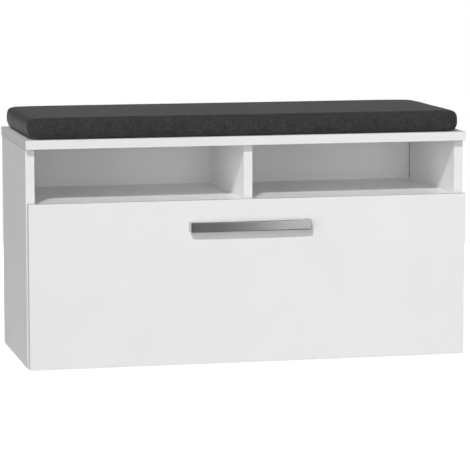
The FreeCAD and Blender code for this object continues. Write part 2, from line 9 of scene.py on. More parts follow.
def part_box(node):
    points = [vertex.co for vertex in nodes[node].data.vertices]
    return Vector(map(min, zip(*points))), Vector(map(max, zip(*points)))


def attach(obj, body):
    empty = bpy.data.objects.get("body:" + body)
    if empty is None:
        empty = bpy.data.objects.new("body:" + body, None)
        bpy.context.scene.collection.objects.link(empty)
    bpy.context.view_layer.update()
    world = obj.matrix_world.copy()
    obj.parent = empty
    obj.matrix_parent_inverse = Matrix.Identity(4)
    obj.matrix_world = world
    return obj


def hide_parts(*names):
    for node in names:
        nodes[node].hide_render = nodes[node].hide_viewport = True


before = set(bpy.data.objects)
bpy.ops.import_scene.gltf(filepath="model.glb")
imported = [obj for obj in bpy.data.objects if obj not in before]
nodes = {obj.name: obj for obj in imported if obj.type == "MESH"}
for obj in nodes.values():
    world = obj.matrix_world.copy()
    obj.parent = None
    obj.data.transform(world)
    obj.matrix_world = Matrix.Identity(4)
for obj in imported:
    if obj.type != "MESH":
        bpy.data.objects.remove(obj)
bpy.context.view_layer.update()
mm = 0.001
print("frame loaded:", len(nodes), "pieces")

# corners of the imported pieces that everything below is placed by
cushionLow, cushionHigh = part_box("cushion_cover")
handleLow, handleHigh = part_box("handle_bow")
sidePanelLow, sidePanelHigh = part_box("left_side_panel")
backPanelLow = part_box("back_panel")[0]
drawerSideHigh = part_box("drawer_left_side")[1]
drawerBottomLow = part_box("drawer_bottom")[0]

camera = {
    "place": (-1.0794, -4.6578, 0.8277),
    "turnRight": 13.101,      # degrees from straight at the front
    "tiltDown": 7.313,
    "lens": 201.4,
    "filmWidth": 36.0,
    "farthest": 60.0,         # metres that it sees
}
lamps = {
    # name: the way its light travels, its strength, and how many degrees wide it looks
    "key": {"travel": (0.314, 0.713, -0.627), "power": 1.88, "wide": 3.5},
    "front": {"travel": (0.0, 1.0, -0.06), "power": 0.65, "wide": 30.0},
    "frontLeft": {"travel": (0.73, 0.68, -0.08), "power": 0.76, "wide": 40.0},
    "left": {"travel": (0.90, 0.42, -0.10), "power": 0.32, "wide": 80.0},
    "backRight": {"travel": (-0.66, -0.75, 0.04), "power": 0.60, "wide": 50.0},
}
surround = {
    "ambient": 0.16,
    "backdrop": 1.0,          # the white that the camera sees behind the bench
    "cardFrom": 12.5,         # the reflection card spans these degrees right of straight ahead of the handle
    "cardTo": 74.0,
    "cardAway": 1.9,
    "cardTall": 2.0,
    "cardUp": 0.45,           # its middle above the handle
    "cardPower": 3.3,         # for each square metre of it
}


def makeCamera():
    data = bpy.data.cameras.new("viewCamera")
    data.lens = camera["lens"]
    data.sensor_width = camera["filmWidth"]
    data.clip_end = camera["farthest"]
    viewer = bpy.data.objects.new("viewCamera", data)
    viewer.location = camera["place"]
    viewer.rotation_euler = (math.radians(90.0 - camera["tiltDown"]), 0.0, -math.radians(camera["turnRight"]))
    bpy.context.scene.collection.objects.link(viewer)
    bpy.context.scene.camera = viewer


def makeLamps():
    for name, lamp in lamps.items():
        data = bpy.data.lights.new(name + "Light", "SUN")
        data.energy = lamp["power"]
        data.angle = math.radians(lamp["wide"])
        holder = bpy.data.objects.new(name + "Light", data)
        holder.rotation_euler = Vector(lamp["travel"]).to_track_quat("-Z", "Y").to_euler()
        holder.visible_glossy = name == "key"      # the soft ones would show as glare in the handle
        bpy.context.scene.collection.objects.link(holder)


def makeCard():
    # a tall card on the right, seen only by glossy surfaces, shades the handle from dark to light
    fromTurn, toTurn = math.radians(surround["cardFrom"]), math.radians(surround["cardTo"])
    away = surround["cardAway"]
    data = bpy.data.lights.new("glossCard", "AREA")
    data.shape = "RECTANGLE"
    data.size = 2 * away * math.tan((toTurn - fromTurn) / 2)
    data.size_y = surround["cardTall"]
    data.energy = surround["cardPower"] * data.size * data.size_y
    card = bpy.data.objects.new("glossCard", data)
    handleMiddle = (handleLow + handleHigh) / 2
    turn = (fromTurn + toTurn) / 2
    card.location = handleMiddle + Vector((math.sin(turn), -math.cos(turn), 0.0)) * away
    card.location.z += surround["cardUp"]
    card.rotation_euler = (handleMiddle - Vector(card.location)).to_track_quat("-Z", "Y").to_euler()
    card.visible_camera = False
    card.visible_diffuse = False
    bpy.context.scene.collection.objects.link(card)


def makeWorld():
    # white where the camera looks straight at it, and a soft grey fill for everything else
    world = bpy.data.worlds.new("studio")
    bpy.context.scene.world = world
    world.use_nodes = True
    tree = world.node_tree
    tree.nodes.clear()
    path = tree.nodes.new("ShaderNodeLightPath")
    mix = tree.nodes.new("ShaderNodeMixShader")
    out = tree.nodes.new("ShaderNodeOutputWorld")
    for slotNumber, strength in ((1, surround["ambient"]), (2, surround["backdrop"])):
        background = tree.nodes.new("ShaderNodeBackground")
        background.inputs["Color"].default_value = (1, 1, 1, 1)
        background.inputs["Strength"].default_value = strength
        tree.links.new(background.outputs[0], mix.inputs[slotNumber])
    tree.links.new(path.outputs["Is Camera Ray"], mix.inputs[0])
    tree.links.new(mix.outputs[0], out.inputs["Surface"])


bpy.context.scene.view_settings.view_transform = "Standard"
bpy.context.scene.view_settings.look = "None"
makeCamera()
makeLamps()
makeCard()
makeWorld()
print("camera and light set")


class Wire:
    # one output socket; arithmetic on it adds Math nodes
    def __init__(self, paint, socket):
        self.paint = paint
        self.socket = socket

    def maths(self, operation, first, second=0.0):
        return self.paint.node("ShaderNodeMath", {"operation": operation}, {0: first, 1: second})[0]

    def __add__(self, other):
        return self.maths("ADD", self, other)

    def __radd__(self, other):
        return self.maths("ADD", other, self)

    def __sub__(self, other):
        return self.maths("SUBTRACT", self, other)

    def __rsub__(self, other):
        return self.maths("SUBTRACT", other, self)

    def __mul__(self, other):
        return self.maths("MULTIPLY", self, other)

    def __rmul__(self, other):
        return self.maths("MULTIPLY", other, self)

    def __gt__(self, other):
        return self.maths("GREATER_THAN", self, other)

    def __lt__(self, other):
        return self.maths("LESS_THAN", self, other)

    def sine(self):
        return self.maths("SINE", self)

    def absolute(self):
        return self.maths("ABSOLUTE", self)

    def larger(self, other):
        return self.maths("MAXIMUM", self, other)

    def ramp(self, low, high):
        # 0 below low, 1 above high, smooth between
        made = self.paint.node("ShaderNodeMapRange", {"interpolation_type": "SMOOTHSTEP"},
                               {"Value": self, "From Min": low, "From Max": high})
        return made["Result"]


class Outputs:
    # a node's outputs by name or number, each as a Wire
    def __init__(self, paint, made):
        self.paint = paint
        self.made = made

    def __getitem__(self, name):
        return Wire(self.paint, self.made.outputs[name])


class Paint:
    # one material: a Principled shader and the nodes that feed it
    slots = {"color": "Base Color", "rough": "Roughness", "metal": "Metallic", "normal": "Normal",
             "sheen": "Sheen Weight", "sheenRough": "Sheen Roughness", "specular": "Specular IOR Level",
             "subsurface": "Subsurface Weight", "subsurfaceScale": "Subsurface Scale",
             "glowColor": "Emission Color", "glow": "Emission Strength"}

    def __init__(self, name):
        self.material = bpy.data.materials.new(name)
        self.material.use_nodes = True
        self.tree = self.material.node_tree
        self.tree.nodes.clear()
        out = self.tree.nodes.new("ShaderNodeOutputMaterial")
        self.shader = self.tree.nodes.new("ShaderNodeBsdfPrincipled")
        self.tree.links.new(self.shader.outputs[0], out.inputs["Surface"])
        # object coordinates in metres: the whole vector, and its three parts
        self.place = self.node("ShaderNodeTexCoord", {}, {})["Object"]
        self.x, self.y, self.z = self.split(self.place)

    def node(self, kind, settings, inputs):
        made = self.tree.nodes.new(kind)
        for name, value in settings.items():
            if name == "stops":
                self.setStops(made.color_ramp, value)
            else:
                setattr(made, name, value)
        for name, value in inputs.items():
            self.feed(made.inputs[name], value)
        return Outputs(self, made)

    def setStops(self, ramp, stops):
        while len(ramp.elements) < len(stops):
            ramp.elements.new(1.0)
        for element, (at, colour) in zip(ramp.elements, stops):
            element.position = at
            element.color = (*colour, 1.0)

    def feed(self, socket, value):
        if isinstance(value, Wire):
            self.tree.links.new(value.socket, socket)
        elif isinstance(value, (tuple, list)) and len(value) == 3 and socket.type == "RGBA":
            socket.default_value = (*value, 1.0)
        else:
            socket.default_value = value

    def split(self, vector):
        parts = self.node("ShaderNodeSeparateXYZ", {}, {0: vector})
        return parts[0], parts[1], parts[2]

    def stretched(self, vector, scale):
        return self.node("ShaderNodeVectorMath", {"operation": "MULTIPLY"}, {0: vector, 1: scale})[0]

    def noise(self, scale, detail=2.0, rough=0.5, stretch=(1.0, 1.0, 1.0), on=None):
        # scale is in lumps per metre; stretch below 1 draws them out along that axis
        where = self.stretched(on or self.place, tuple(scale * s for s in stretch))
        return self.node("ShaderNodeTexNoise", {}, {"Vector": where, "Scale": 1.0, "Detail": detail,
                                                    "Roughness": rough})["Fac"]

    def cells(self, scale):
        where = self.stretched(self.place, scale)
        return self.node("ShaderNodeTexVoronoi", {"feature": "F1"}, {"Vector": where, "Scale": 1.0})

    def mix(self, factor, first, second):
        return self.node("ShaderNodeMix", {"data_type": "RGBA"}, {0: factor, 6: first, 7: second})[2]

    def colours(self, factor, stops):
        return self.node("ShaderNodeValToRGB", {"stops": stops}, {"Fac": factor})["Color"]

    def bump(self, height, distance, strength, under=None):
        inputs = {"Height": height, "Distance": distance, "Strength": strength}
        if under is not None:
            inputs["Normal"] = under
        return self.node("ShaderNodeBump", {}, inputs)["Normal"]

    def set(self, **inputs):
        for name, value in inputs.items():
            self.feed(self.shader.inputs[self.slots[name]], value)
        return self.material


hair = 0.04 * mm              # how far past a plane a cut edge's colour starts

boardLook = {
    "white": (0.900, 0.900, 0.900),
    "shade": (0.885, 0.885, 0.883),
    "frontTone": 0.875,       # the foil's colour against the inner boards', set for the light they get: painted shade darkens the lit drawer front and outer boards, painted light brightens the shaded shelf
    "outerTone": 0.97,
    "shelfTone": 1.05,
    "rough": 0.36,
    "texture": 0.04 * mm,     # depth of its faint leather texture
    "core": [(0.32, (0.235, 0.145, 0.080)), (0.52, (0.470, 0.330, 0.200)), (0.72, (0.680, 0.540, 0.370))],
    "coreRough": 0.85,
    "coreRelief": 6.0,        # the core's relief against the foil's
    "flakes": (330.0, 520.0, 520.0),
    "grooveAhead": 3.0 * mm,  # of the back panel, in both side panels
    "grooveDeep": 6.0 * mm,
}


def chipboard(paint):
    # pressed wood flakes: cells stretched along the board, tinted cell by cell
    flakes = paint.cells(boardLook["flakes"])
    tone = paint.noise(3.1, 1.0, on=flakes["Position"])
    grain = paint.noise(1500.0, 3.0, 0.6)
    return paint.colours(tone, boardLook["core"]), flakes["Distance"] * -0.6 + grain


def grooveMask(paint):
    # 1 inside the side panels' grooves: from the inner face outward to their depth, behind their front wall
    face = -sidePanelHigh.x
    side = paint.x.absolute()
    wall = backPanelLow.y - boardLook["grooveAhead"] - 0.1 * mm
    floor = face + boardLook["grooveDeep"] + 0.1 * mm
    return (side > face + hair) * (side < floor) * (paint.y > wall)


def melamine(name, tone=1.0, rawBehind=None, rawBelow=None, grooved=False):
    # satin foil with a faint leather texture; cut edges past the given planes, and grooves, show chipboard
    paint = Paint(name)
    cloud = paint.noise(7.0)
    grain = paint.noise(1400.0, 2.0, 0.6)
    pebble = paint.noise(420.0, 1.0, 0.4)
    # tone scales the foil's colour: painted light where above 1, painted shade where below 1
    shade, white = (tuple(part * tone for part in boardLook[look]) for look in ("shade", "white"))
    color = paint.mix(cloud.ramp(0.35, 0.65), shade, white)
    rough = boardLook["rough"] + cloud * 0.05 + grain * 0.05
    height = grain * 0.35 + pebble * 0.65
    masks = []
    if rawBehind is not None:
        masks.append(paint.y > rawBehind - hair)
    if rawBelow is not None:
        masks.append(paint.z < rawBelow + hair)
    if grooved:
        masks.append(grooveMask(paint))
    if masks:
        raw = masks[0]
        for mask in masks[1:]:
            raw = raw.larger(mask)
        chips, relief = chipboard(paint)
        color = paint.mix(raw, color, chips)
        rough = rough * (1 - raw) + raw * boardLook["coreRough"]
        height = height * (1 - raw) + relief * raw * boardLook["coreRelief"]
    return paint.set(color=color, rough=rough, normal=paint.bump(height, boardLook["texture"], 0.6))


edgingLook = {
    "dark": (0.745, 0.745, 0.743),
    "light": (0.785, 0.785, 0.785),
    "rough": 0.30,
    "lines": 900.0,           # scraper lines per metre across the strip
    "depth": 0.04 * mm,
}


def plasticEdging():
    # satin plastic strip with fine lines left by the scraper
    paint = Paint("whiteEdging")
    lines = paint.noise(edgingLook["lines"], 2.0, 0.5, (0.02, 1.0, 0.02))
    pebble = paint.noise(500.0, 1.0, 0.4)
    cloud = paint.noise(11.0, 1.0)
    return paint.set(color=paint.mix(cloud, edgingLook["dark"], edgingLook["light"]),
                     rough=edgingLook["rough"] + lines * 0.12,
                     normal=paint.bump(lines * 0.5 + pebble, edgingLook["depth"], 0.5))


hardboardLook = {
    "white": ((0.845, 0.843, 0.835), (0.875, 0.874, 0.870)),
    "brown": [(0.30, (0.130, 0.072, 0.038)), (0.55, (0.235, 0.140, 0.078)), (0.80, (0.350, 0.225, 0.130))],
    "rough": 0.42,
    "bareRough": 0.36,        # added where it is brown
    "depth": 0.07 * mm,
    "lacquer": 1.0 * mm,      # how far into its thickness the white reaches
}


def hardboard(name, brownAbove=None, brownBelow=None, grooveShadePast=None):
    # thin fibre board: white lacquer on the side that shows, bare brown behind it, and brown past its margin
    # in the side panels' grooves as painted shade along the joint
    paint = Paint(name)
    fibre = paint.noise(900.0, 4.0, 0.65)
    weave = paint.noise(260.0)
    cloud = paint.noise(9.0)
    white = paint.mix(fibre.ramp(0.3, 0.75), *hardboardLook["white"])
    brown = paint.colours(fibre * 0.7 + cloud * 0.3, hardboardLook["brown"])
    bareAndGrooveShade = paint.y > brownAbove if brownAbove is not None else paint.z < brownBelow
    # past the side panels' inner faces, inside their grooves, it is painted brown as shade along the joint
    if grooveShadePast is not None:
        bareAndGrooveShade = bareAndGrooveShade.larger(paint.x.absolute() > grooveShadePast)
    return paint.set(color=paint.mix(bareAndGrooveShade, white, brown),
                     rough=hardboardLook["rough"] + bareAndGrooveShade * hardboardLook["bareRough"] + fibre * 0.06,
                     normal=paint.bump(fibre * 0.4 + weave * 0.6, hardboardLook["depth"], 0.6))


runnerLook = {
    "white": (0.780, 0.780, 0.770),
    "scuffed": (0.480, 0.480, 0.475),
    "rough": 0.44,
    "wear": (0.58, 0.68),     # wider or lower gives more scuffing
    "peel": 0.06 * mm,
}


def powderCoat():
    # white powder coat; where the rollers run it is scuffed grey along the travel
    paint = Paint("powderCoat")
    peel = paint.noise(900.0)
    streak = paint.noise(1600.0, 3.0, 0.6, (1.0, 0.012, 1.0))
    patch = paint.noise(40.0)
    worn = (streak * 0.7 + patch * 0.3).ramp(*runnerLook["wear"])
    return paint.set(color=paint.mix(worn * 0.7, runnerLook["white"], runnerLook["scuffed"]),
                     rough=runnerLook["rough"] - worn * 0.12,
                     normal=paint.bump(peel, runnerLook["peel"], 0.5))


nylonLook = {
    "clean": (0.780, 0.765, 0.715),
    "grey": (0.520, 0.505, 0.470),
    "rough": 0.40,
    "depth": 0.03 * mm,
}


def nylon():
    # off-white moulded nylon with turning marks and a little grey from the track
    paint = Paint("nylonRoller")
    grain = paint.noise(1200.0)
    dirt = paint.noise(300.0, 3.0, 0.6).ramp(0.50, 0.75)
    return paint.set(color=paint.mix(dirt * 0.5, nylonLook["clean"], nylonLook["grey"]),
                     rough=nylonLook["rough"] + grain * 0.12,
                     normal=paint.bump(grain, nylonLook["depth"], 0.5),
                     subsurface=0.15, subsurfaceScale=2.0 * mm)


glideLook = {
    "pale": (0.80, 0.80, 0.79),
    "dull": (0.66, 0.66, 0.65),
    "rough": 0.36,
    "depth": 0.03 * mm,
}


def glidePlastic():
    # moulded plastic: fine spark texture and faint scuffs
    paint = Paint("whitePlastic")
    spark = paint.noise(1900.0, 2.0, 0.6)
    scuff = paint.noise(160.0, 3.0, 0.65).ramp(0.55, 0.72)
    return paint.set(color=paint.mix(scuff, glideLook["pale"], glideLook["dull"]),
                     rough=glideLook["rough"] + scuff * 0.14 + spark * 0.05,
                     normal=paint.bump(spark, glideLook["depth"], 0.5))


dowelLook = {
    "pale": (0.56, 0.38, 0.22),
    "warm": (0.74, 0.56, 0.37),
    "fleck": (0.33, 0.18, 0.09),
    "rough": 0.62,
    "depth": 0.1 * mm,
}


def beech():
    # pale wood with short dark flecks along the grain
    paint = Paint("beechDowel")
    grain = paint.noise(260.0, 3.0, 0.6, (0.12, 1.0, 1.0))
    fleck = paint.noise(1200.0, 1.0, 0.5, (0.1, 1.0, 1.0)).ramp(0.62, 0.72)
    wood = paint.mix(grain, dowelLook["pale"], dowelLook["warm"])
    return paint.set(color=paint.mix(fleck * 0.5, wood, dowelLook["fleck"]),
                     rough=dowelLook["rough"] + grain * 0.1,
                     normal=paint.bump(grain, dowelLook["depth"], 0.5))


zincLook = {
    "screws": {"tint": (0.66, 0.66, 0.67), "rough": 0.26},
    "cams": {"tint": (0.52, 0.52, 0.53), "rough": 0.38},
    "dulling": 0.72,          # tint of its cloudy patches against the bright ones
    "depth": 0.03 * mm,
}


def zincPlate(name, look):
    # zinc plate: bright crystals, cloudy patches and fine tool lines
    paint = Paint(name)
    crystal = paint.noise(700.0, 3.0, 0.6)
    cloud = paint.noise(90.0)
    dull = tuple(part * zincLook["dulling"] for part in look["tint"])
    return paint.set(color=paint.mix(cloud.ramp(0.35, 0.7), look["tint"], dull), metal=1.0,
                     rough=look["rough"] + crystal * 0.14 + cloud * 0.08,
                     normal=paint.bump(crystal, zincLook["depth"], 0.5))


bumperLook = {
    "dark": (0.60, 0.60, 0.60),
    "light": (0.72, 0.72, 0.71),
    "rough": 0.32,
    "depth": 0.03 * mm,
}


def clearRubber():
    # milky soft rubber that lets a little light in
    paint = Paint("clearRubber")
    grain = paint.noise(900.0)
    cloud = paint.noise(200.0)
    return paint.set(color=paint.mix(cloud, bumperLook["dark"], bumperLook["light"]),
                     rough=bumperLook["rough"] + grain * 0.12,
                     normal=paint.bump(grain, bumperLook["depth"], 0.5),
                     subsurface=0.2, subsurfaceScale=3.0 * mm)


tapeLook = {
    "base": (0.040, 0.040, 0.040),
    # darker between the tufts: painted shade
    "gaps": (0.012, 0.012, 0.012),
    "rough": 0.9,
    "tufts": 900.0,           # per metre
    "depth": 0.4 * mm,
}


def tapePile():
    # hook-and-loop pile: dense dark tufts, with painted shade darkening the gaps between them
    paint = Paint("tapePile")
    tuft = paint.cells((tapeLook["tufts"],) * 3)["Distance"]
    return paint.set(color=paint.mix(tuft, tapeLook["base"], tapeLook["gaps"]), rough=tapeLook["rough"],
                     normal=paint.bump(tuft * -1.0, tapeLook["depth"], 0.8))


def coverCadPieces():
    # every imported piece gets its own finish; screws, bolts and axles, which no list names, are zinc plated
    rear = sidePanelHigh.y
    # the outer boards, the shelf and the drawer front take lighter and darker copies of one foil: painted
    # light and shade
    outer = boardLook["outerTone"]
    looks = {
        melamine("topBoard", outer, rawBehind=rear): ["top_panel"],
        melamine("sideBoard", outer, rawBehind=rear, rawBelow=sidePanelLow.z, grooved=True): [
            "left_side_panel", "right_side_panel"],
        melamine("melamineInner", rawBehind=backPanelLow.y): ["bottom_panel", "centre_divider"],
        melamine("shelfBoard", boardLook["shelfTone"], rawBehind=backPanelLow.y): ["shelf_panel"],
        melamine("frontBoard", boardLook["frontTone"]): ["drawer_front"],
        melamine("drawerBoard", rawBehind=drawerSideHigh.y): [
            "drawer_left_side", "drawer_right_side", "drawer_back"],
        melamine("capFoil", outer): ["cam_cover_caps"],
        plasticEdging(): ["top_panel_edging", "side_panel_edging", "shelf_and_divider_edging",
                          "drawer_front_edging"],
        # its margins inside the side panels' grooves are painted brown as shade along the joint
        hardboard("backHardboard", brownAbove=backPanelLow.y + hardboardLook["lacquer"],
                  grooveShadePast=-sidePanelHigh.x): ["back_panel"],
        hardboard("drawerHardboard", brownBelow=drawerBottomLow.z + hardboardLook["lacquer"]): [
            "drawer_bottom"],
        powderCoat(): ["left_cabinet_runner", "right_cabinet_runner", "left_drawer_runner",
                       "right_drawer_runner"],
        nylon(): ["left_cabinet_roller", "right_cabinet_roller", "left_drawer_roller",
                  "right_drawer_roller"],
        glidePlastic(): ["foot_glides"],
        beech(): ["carcass_dowels", "drawer_dowels"],
        zincPlate("zincCams", zincLook["cams"]): ["carcass_cam_locks", "drawer_cam_locks"],
        clearRubber(): ["front_bumpers"],
        tapePile(): ["hook_tapes", "loop_tapes"],
    }
    steel = zincPlate("zincScrews", zincLook["screws"])
    covered = {name: look for look, names in looks.items() for name in names}
    for name, piece in nodes.items():
        piece.data.materials.clear()
        piece.data.materials.append(covered.get(name, steel))


coverCadPieces()
print("finishes set")


def meshFrom(name, points, faces, look=None):
    data = bpy.data.meshes.new(name)
    data.from_pydata(points.tolist(), [], faces)
    data.update()
    if look is not None:
        data.materials.append(look)
    piece = bpy.data.objects.new(name, data)
    bpy.context.scene.collection.objects.link(piece)
    return piece


def gridFaces(rings, around, caps=False, joined=False):
    # quads from each ring of points to the next; caps closes both ends, joined leads the last ring back to
    # the first
    index = np.arange(rings * around).reshape(rings, around)
    onward = np.roll(index, -1, axis=0)
    if not joined:
        index, onward = index[:-1], onward[:-1]
    quads = np.stack([index, np.roll(index, -1, axis=1), np.roll(onward, -1, axis=1), onward], axis=2)
    faces = quads.reshape(-1, 4).tolist()
    if caps:
        faces.append(index[0, ::-1].tolist())
        faces.append(onward[-1].tolist())
    return faces


def smoothFaces(data):
    data.polygons.foreach_set("use_smooth", np.ones(len(data.polygons), bool))
    data.update()


def faceOutward(data):
    # every face turned to look away from the inside
    work = bmesh.new()
    work.from_mesh(data)
    bmesh.ops.recalc_face_normals(work, faces=work.faces)
    work.to_mesh(data)
    work.free()


def readPoints(data):
    flat = np.empty(len(data.vertices) * 3, np.float32)
    data.vertices.foreach_get("co", flat)
    return flat.reshape(-1, 3).astype(float)


def writePoints(data, points):
    data.vertices.foreach_set("co", points.astype(np.float32).ravel())
    data.update()


def applyModifiers(piece):
    graph = bpy.context.evaluated_depsgraph_get()
    fresh = bpy.data.meshes.new_from_object(piece.evaluated_get(graph), depsgraph=graph)
    piece.modifiers.clear()
    piece.data = fresh


handle = {
    "leg": 10.0 * mm,         # how wide each leg is
    "bar": 6.0 * mm,          # how thick the bar is
    "bow": 1.5 * mm,          # how far its middle stands ahead of its ends
    "outerTurn": 3.0 * mm,    # plan radius where the bar turns into its legs
    "innerTurn": 4.0 * mm,
    "outerRound": 2.0 * mm,   # rounding of its long edges
    "innerRound": 0.7 * mm,
    "flatMargin": 0.25 * mm,  # an extra point this far past each rounding keeps the flats flat
    "barSteps": 150,
    "legSteps": 6,
    "turnSteps": 9,
    "roundSteps": 7,
    "bright": (0.560, 0.560, 0.560),
    "dark": (0.430, 0.430, 0.430),
    "rough": 0.13,
    "brushing": 3800.0,       # lines per metre across the brushing
    "brushDepth": 0.02 * mm,
}


def satinMetal():
    # brushed along the bar: long streaks in tone, roughness and height
    paint = Paint("satinHandle")
    fine = paint.noise(handle["brushing"], 2.0, 0.6, (0.008, 1.0, 1.0))
    broad = paint.noise(900.0, 2.0, 0.5, (0.006, 1.0, 1.0))
    cloud = paint.noise(25.0)
    streak = fine * 0.6 + broad * 0.4
    return paint.set(color=paint.mix(streak.ramp(0.3, 0.7), handle["dark"], handle["bright"]), metal=1.0,
                     rough=handle["rough"] + streak * 0.10 + cloud * 0.04,
                     normal=paint.bump(streak, handle["brushDepth"], 0.5))


def arcLine(middle, radius, fromAngle, toAngle):
    # arc in plan: middle + radius * (cos, sin) of evenly spaced angles
    angles = np.radians(np.linspace(fromAngle, toAngle, handle["turnSteps"]))
    return np.stack([middle[0] + radius * np.cos(angles), middle[1] + radius * np.sin(angles)], 1)


def barLine(halfLength, ahead, base, turn):
    # plan line of one face of the handle: up the left leg, round its corner, along the bow, and back;
    # the bow follows a parabola, bow * (1 - (x / half) squared) ahead of its ends
    half = halfLength - turn
    along = np.linspace(-half, half, handle["barSteps"])[1:-1]
    front = np.stack([along, ahead - handle["bow"] * (1 - (along / half) ** 2)], 1)
    up = np.linspace(base, ahead + turn, handle["legSteps"] + 1)[:-1]
    leftLeg = np.stack([np.full(len(up), -halfLength), up], 1)
    leftTurn = arcLine((-half, ahead + turn), turn, 180.0, 270.0)
    rightTurn = arcLine((half, ahead + turn), turn, 270.0, 360.0)
    rightLeg = leftLeg[::-1] * (-1.0, 1.0)
    return np.concatenate([leftLeg, leftTurn, front, rightTurn, rightLeg])


def cornerArc(radius, tall):
    # rounding of the upper edge, from the top round to the face: radius * (1 - sin) in from the face at
    # tall / 2 - radius * (1 - cos) up, with one more point on each flat
    angles = np.linspace(0, math.pi / 2, handle["roundSteps"])
    inward = radius * (1 - np.sin(angles))
    high = tall / 2 - radius * (1 - np.cos(angles))
    margin = handle["flatMargin"]
    inward = np.concatenate([[inward[0] + margin], inward, [inward[-1]]])
    high = np.concatenate([[high[0]], high, [high[-1] - margin]])
    return np.stack([inward, high], 1)


def barSection(tall):
    # the bar's rounded section as (distance in from a face, height) points: down the outer face, then up
    # the inner one
    outerArc = cornerArc(handle["outerRound"], tall)
    innerArc = cornerArc(handle["innerRound"], tall)
    outer = np.concatenate([outerArc, outerArc[::-1] * (1, -1)])
    inner = np.concatenate([innerArc * (1, -1), innerArc[::-1]])
    return outer, inner


def makeHandle():
    # two plan lines, of the outer and the inner face, carry the section: each of its points follows the
    # nearer line, set in from it towards the other by its distance
    middle = (handleLow + handleHigh) / 2
    halfLength = (handleHigh.x - handleLow.x) / 2
    base = handleHigh.y
    ends = handleLow.y + handle["bow"]
    outer = barLine(halfLength, ends, base, handle["outerTurn"])
    inner = barLine(halfLength - handle["leg"], ends + handle["bar"], base, handle["innerTurn"])
    across = inner - outer
    across /= np.linalg.norm(across, axis=1, keepdims=True)
    outerSection, innerSection = barSection(handleHigh.z - handleLow.z)
    plan = np.concatenate([outer[:, None] + across[:, None] * outerSection[None, :, :1],
                           inner[:, None] - across[:, None] * innerSection[None, :, :1]], 1)
    high = np.concatenate([outerSection[:, 1], innerSection[:, 1]])
    points = np.empty((*plan.shape[:2], 3))
    points[..., 0] = plan[..., 0] + middle.x
    points[..., 1] = plan[..., 1]
    points[..., 2] = middle.z + high
    piece = meshFrom("handleBar", points.reshape(-1, 3), gridFaces(*plan.shape[:2], caps=True), satinMetal())
    smoothFaces(piece.data)
    faceOutward(piece.data)
    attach(piece, "drawer")
    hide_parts("handle_bow")


makeHandle()
print("handle made")


cushion = {
    "corner": 22 * mm,        # plan radius of its four corners
    "topRound": 10 * mm,
    "bottomRound": 9.5 * mm,
    "start": 1.0 * mm,        # the pad starts this much smaller and swells
    "firstTurn": 0.3,         # radians into each rounding where its first row lies
    "middleGap": 4 * mm,      # half the width that one face closes in the middle of the top and underside
    "steps": {"corner": 8, "long": 90, "short": 30},
    "rows": {"flat": 14, "lower": 5, "wall": 6, "upper": 6},
    "voxel": 5.5 * mm,
    "frames": 20,
    "cap": 2.4 * mm,
    "even": 50,               # smoothing passes over the swelling, as the foam under the cover spreads it
    "heldBelow": 1.5 * mm,    # the cover is held this far up from its underside
    "lift": 1.6 * mm,         # the underside rests on its tapes, this far above the seat board
    "fill": 0.8,
    "cloth": {                # Blender's own names for how its cover moves
        "quality": 6,
        "mass": 0.25,
        "tension_stiffness": 14,
        "compression_stiffness": 14,
        "shear_stiffness": 6,
        "bending_stiffness": 4.0,
        "use_pressure": True,
        "uniform_pressure_force": 2.0,
    },
    # shallow hollows along the wall, where the foam gives, as (depth, length, start)
    "waves": ((0.35 * mm, 93 * mm, 0.0), (0.25 * mm, 41 * mm, 1.1)),
    "wavesAbove": 14 * mm,    # their middle above the seam, and how far up and down they reach
    "wavesReach": 9 * mm,
}
seam = {
    "height": 4.6 * mm,       # above the seat board
    "beadOut": 1.0 * mm,      # half sizes of the folded bead along it
    "beadUp": 0.8 * mm,
    "beadSides": 8,
    "steps": {"corner": 14, "long": 260, "short": 96},
    "search": 20 * mm,        # how far out and in it looks for the cover
    "evenings": 3,
    "draw": 0.7 * mm,         # how far the wall is drawn in along it, and how much more at a gather
    "gather": 0.55 * mm,
    "gatherEvery": 17 * mm,
    "gatherDrift": 61 * mm,
    "reach": 4.5 * mm,        # how far up and down the drawing in reaches
    "cornerRun": 30 * mm,     # length counted for each radian round a corner
}


def roundOutline(halfX, halfY, radius, steps):
    # rectangle with round corners, counterclockwise: each corner is a quarter circle, the corner's middle
    # + radius * (cos, sin), and straight runs join its end to the next one's start
    straight = (max(halfX - radius, 0.0), max(halfY - radius, 0.0))
    corners = np.array([(1, 1), (-1, 1), (-1, -1), (1, -1)]) * straight
    angles = np.linspace(0.0, 0.5 * np.pi, steps["corner"] + 1)
    line = []
    for number, middle in enumerate(corners):
        turned = angles + number * 0.5 * np.pi
        bend = middle + radius * np.stack([np.cos(turned), np.sin(turned)], 1)
        nextTurn = (number + 1) * 0.5 * np.pi
        nextStart = corners[(number + 1) % 4] + radius * np.array([np.cos(nextTurn), np.sin(nextTurn)])
        runSteps = steps["long"] if number % 2 == 0 else steps["short"]
        share = np.linspace(0.0, 1.0, runSteps + 1)[1:-1, None]
        line += [bend, bend[-1] * (1 - share) + nextStart * share]
    return np.concatenate(line)


def padProfile(inner, tall):
    # from the middle of the underside, round the lower edge, up the wall, round the upper edge and in over
    # the top, as (inset, height): each rounding is radius * (1 - sin or cos) of its angle
    top, bottom, rows = cushion["topRound"], cushion["bottomRound"], cushion["rows"]
    lower = np.linspace(cushion["firstTurn"], math.pi / 2, rows["lower"])
    upper = np.linspace(cushion["firstTurn"], math.pi / 2, rows["upper"])
    wall = np.linspace(bottom, tall - top, rows["wall"])[1:]
    inset = [np.linspace(inner, bottom, rows["flat"]), bottom * (1 - np.sin(lower)), wall * 0.0,
             top * (1 - np.cos(upper)), np.linspace(top, inner, rows["flat"])[1:]]
    height = [np.zeros(rows["flat"]), bottom * (1 - np.cos(lower)), wall,
              tall - top * (1 - np.sin(upper)), np.full(rows["flat"] - 1, tall)]
    return np.concatenate(inset), np.concatenate(height)


